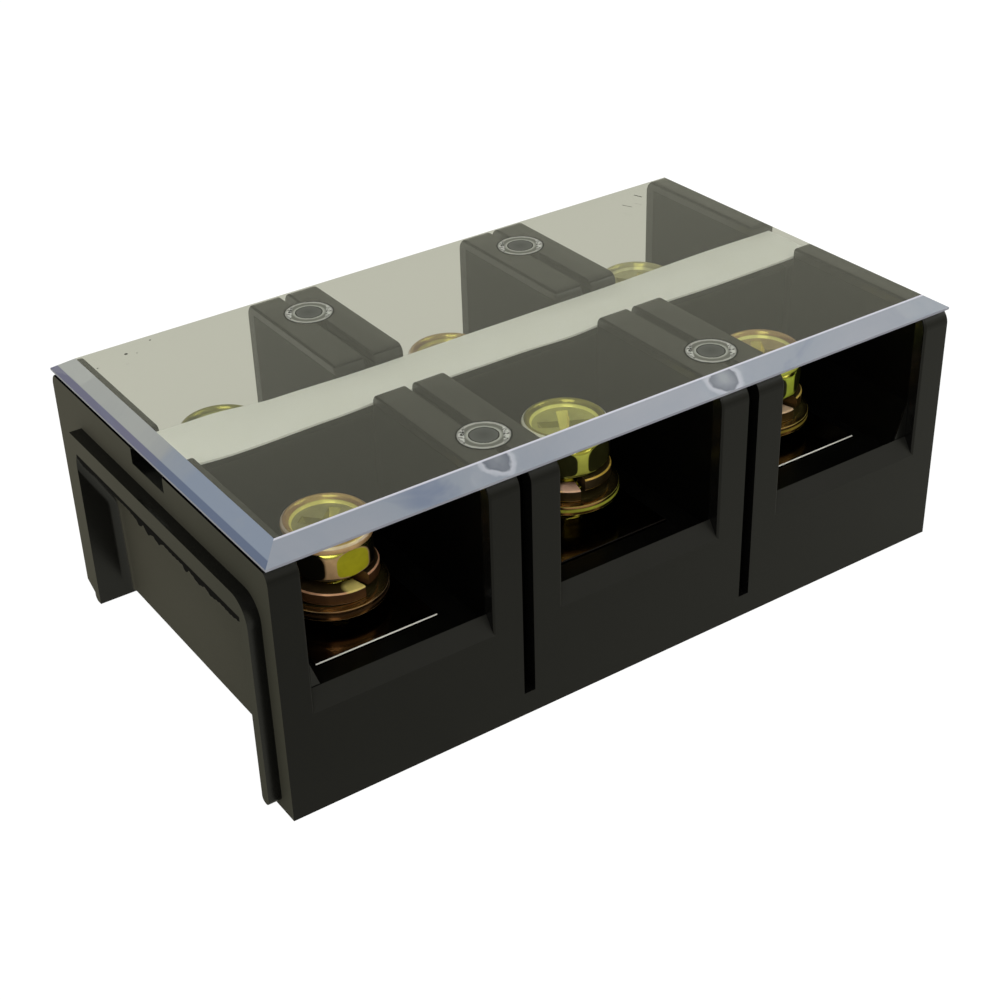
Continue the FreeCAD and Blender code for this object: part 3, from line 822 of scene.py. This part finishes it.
def build_strip():
    """Thin strip a little wider than its trough, so that it bows up and lifts at the left end."""
    rear_rise = [(-61.5, 1.55), (-50.0, 1.25), (-38.0, 0.35), (-20.0, 0.15), (0.0, 0.2), (20.0, 0.3),
                 (61.5, 0.6)]
    front_rise = [(-61.5, 0.9), (-50.0, 0.35), (-20.0, 0.15), (0.0, 0.2), (40.0, 0.3), (61.5, 0.4)]
    front_edge = [(-61.5, -4.2), (-57.0, -4.8), (-48.0, -4.8), (-34.0, -4.35), (-26.0, -4.0), (-16.0, -4.0),
                  (0.0, -4.1), (10.0, -4.6), (17.0, -4.2), (26.0, -4.1), (40.0, -4.5), (55.0, -4.5),
                  (61.5, -4.2)]
    rear_edge = [(-61.5, 5.9), (-50.0, 6.2), (-40.0, 6.2), (-24.0, 6.0), (0.0, 6.1), (20.0, 6.0), (45.0, 6.3),
                 (61.5, 6.0)]
    rings = []
    across = 12
    count = 124
    for j in range(count + 1):
        x = -STRIP_HALF + 2.0 * STRIP_HALF * j / count
        y0, y1 = bent(x, front_edge), bent(x, rear_edge)
        z0, z1 = TROUGH_FLOOR + bent(x, front_rise), TROUGH_FLOOR + bent(x, rear_rise)
        top = []
        for i in range(across + 1):
            t = i / across
            arch = STRIP_ARCH * math.sin(math.pi * t)
            top.append((x, y0 + (y1 - y0) * t, z0 + (z1 - z0) * t + arch + STRIP_THICK))
        rings.append(top + [(px, py, pz - STRIP_THICK) for px, py, pz in reversed(top)])
    verts, faces = rings_to_mesh(rings)
    n = len(rings[0])
    faces.append(tuple(reversed(range(n))))
    faces.append(tuple(count * n + i for i in range(n)))
    make_piece("strip", verts, faces, "white_strip", "housing", "marker_strip", 40.0)


def build_flash():
    """Torn moulding flash along the lower edge of the locating rim, near black and dull, so that it is partly
    painted shade under the rim.
    """
    profile = [(5.4, 0.3), (8.0, 0.5), (11.0, 0.4), (14.2, 0.7), (15.6, 0.35), (17.6, 0.75), (20.6, 0.3),
               (21.8, 0.85), (22.8, 0.35), (26.0, 0.4), (29.0, 0.3), (30.5, 0.85), (32.5, 0.5), (34.2, 1.0),
               (35.6, 0.4), (37.0, 0.95), (38.5, 0.45), (41.0, 0.25), (46.0, 0.3), (52.0, 0.25), (54.7, 0.5),
               (57.0, 0.55), (59.5, 0.25)]
    verts, faces = [], []
    count = 220
    least, base, scale = 0.12, 0.40, 1.4
    start, stop = RIM_SPAN
    for j in range(count + 1):
        along = start + (stop - start) * j / count
        ripple = 0.14 * math.sin(along * 9.1) * math.sin(along * 3.7 + 1.0)
        drop = max(least, base + bent(along, profile) * scale + ripple)
        y = along - HALF_DEPTH
        verts.append((RIM_FACE, y, RIM_EDGE + 0.02))
        verts.append((RIM_FACE + 0.02, y, RIM_EDGE - drop))
        verts.append((RIM_FACE + 0.32, y, RIM_EDGE - drop * 0.9))
    for j in range(count):
        a = j * 3
        faces.append((a, a + 3, a + 4, a + 1))
        faces.append((a + 1, a + 4, a + 5, a + 2))
    make_piece("flash", verts, faces, "ragged_edge", "housing", None, 60.0)


def build_peg_rings():
    rim = ring_of(0.0, 0.0, 0.0, RING_STEPS, lambda angle: RING_RADIUS * MM)
    faces = [(0, 1 + i, 1 + (i + 1) % RING_STEPS) for i in range(RING_STEPS)]
    for number, (x, y) in enumerate(PEGS, 1):
        disc = add_object("peg_rings_%d" % number, [(0.0, 0.0, 0.0)] + rim, faces)
        disc.location = (x * MM, y * MM, RING_HEIGHT * MM)
        bpy.context.view_layer.update()
        dress(disc, "peg_rings")
        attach(disc, "cover")


def build_dust():
    """A few dark specks and short hairs on the plate."""
    specks = ((-52.28, 28.66, 0.30), (-57.88, 26.94, 0.16), (-50.74, 27.9, 0.12), (-47.13, 30.78, 0.18))
    hairs = ((49.58, 29.18, 50.12, 27.53, 0.14), (44.98, 26.88, 45.8, 25.02, 0.09))
    verts, faces = [], []
    for x, y, r in specks:
        base = len(verts)
        verts.extend((x + r * math.cos(a * 0.785), y + r * math.sin(a * 0.785), PLATE_TOP) for a in range(8))
        faces.append(tuple(base + i for i in range(8)))
    for x0, y0, x1, y1, w in hairs:
        base = len(verts)
        corners = ((x0 - w, y0), (x1 - w, y1), (x1 + w, y1), (x0 + w, y0))
        verts.extend((x, y, PLATE_TOP) for x, y in corners)
        faces.append(tuple(base + i for i in range(4)))
    make_piece("dust", verts, faces, "ragged_edge", "cover", None, 30.0)


# Floor, light and camera

def floor_material():
    """Pale floor that the camera sees as white, and that glass and metal see a little yellower."""
    m = Nodes("floor")
    matt = m.add("ShaderNodeBsdfDiffuse")
    m.link(m.ramp(m.noise(3.0, 3.0, 0.5), [(0.3, (0.60, 0.60, 0.56)), (0.7, (0.64, 0.64, 0.60))]),
           matt.inputs["Color"])
    white = m.glow((1.0, 1.0, 1.0, 1.0), 1.17)
    pale = m.glow((1.0, 1.0, 0.82, 1.0), 0.60)
    path = m.add("ShaderNodeLightPath")
    seen = m.math("MAXIMUM", path.outputs["Is Glossy Ray"], path.outputs["Is Transmission Ray"])
    body = m.mix(m.times(seen, 0.6), matt.outputs[0], pale)
    m.surface(m.mix(m.times(path.outputs["Is Camera Ray"], 0.84), body, white))
    return m.mat


def build_floor():
    size = 2.5
    floor = add_object("floor", [(-size, -size, 0), (size, -size, 0), (size, size, 0), (-size, size, 0)],
                       [(0, 1, 2, 3)])
    floor.data.materials.append(floor_material())


def build_world():
    """Even tent of light, with its own tone for each kind of ray."""
    world = bpy.data.worlds.new("tent")
    world.use_nodes = True
    tree = world.node_tree
    tree.nodes.clear()
    out = tree.nodes.new("ShaderNodeOutputWorld")
    path = tree.nodes.new("ShaderNodeLightPath")
    shown = None
    for ray, colour, strength in ((None, (1.0, 1.0, 0.95, 1.0), 0.5),
                                  ("Is Transmission Ray", (1.0, 0.995, 0.83, 1.0), 0.535),
                                  ("Is Glossy Ray", (1.0, 1.0, 0.80, 1.0), 0.44),
                                  ("Is Camera Ray", (1.0, 1.0, 1.0, 1.0), 1.0)):
        light = tree.nodes.new("ShaderNodeBackground")
        light.inputs["Color"].default_value = colour
        light.inputs["Strength"].default_value = strength
        if ray is None:
            shown = light.outputs[0]
            continue
        mix = tree.nodes.new("ShaderNodeMixShader")
        tree.links.new(path.outputs[ray], mix.inputs[0])
        tree.links.new(shown, mix.inputs[1])
        tree.links.new(light.outputs[0], mix.inputs[2])
        shown = mix.outputs[0]
    tree.links.new(shown, out.inputs["Surface"])
    bpy.context.scene.world = world


def softbox(name, place, power):
    light = bpy.data.lights.new(name, "AREA")
    light.shape = "RECTANGLE"
    light.size = 0.5
    light.size_y = 0.5
    light.energy = power
    obj = bpy.data.objects.new(name, light)
    bpy.context.collection.objects.link(obj)
    aim = Vector((0.0, 0.0, 0.02))
    obj.location = place
    obj.rotation_euler = (aim - Vector(place)).to_track_quat("-Z", "Y").to_euler()


def build_camera():
    """Camera found from the outline: angles in degrees, distances in millimetres, focal length in pixels."""
    azimuth, elevation, roll = math.radians(-32.127), math.radians(31.871), math.radians(-2.72)
    focal, picture, sensor = 1784.306, 1000.0, 36.0
    middle = Vector((0.0, -1.5, 22.0))
    leftward, downward, away = 10.296, 7.457, 294.109
    back = Vector((math.sin(azimuth) * math.cos(elevation), -math.cos(azimuth) * math.cos(elevation),
                   math.sin(elevation)))
    right = Vector((0, 0, 1)).cross(back).normalized()
    up = back.cross(right)
    across = math.cos(roll) * right + math.sin(roll) * up
    upward = -math.sin(roll) * right + math.cos(roll) * up
    place = middle - leftward * across - downward * upward + away * back
    data = bpy.data.cameras.new("camera")
    data.sensor_width = sensor
    data.lens = focal / picture * sensor
    data.shift_x = 0.0502
    data.clip_start = 0.01
    data.clip_end = 20.0
    camera = bpy.data.objects.new("camera", data)
    bpy.context.collection.objects.link(camera)
    turn = Matrix((across, upward, back)).transposed().to_4x4()
    camera.matrix_world = Matrix.Translation(place * MM) @ turn
    bpy.context.scene.camera = camera


build_terminals()
build_strip()
build_flash()
build_peg_rings()
build_dust()
build_floor()
build_world()
softbox("key", (-0.45, -0.45, 0.75), 2.4)
softbox("fill", (0.55, -0.35, 0.65), 1.2)
build_camera()
bpy.context.scene.view_settings.view_transform = "Standard"
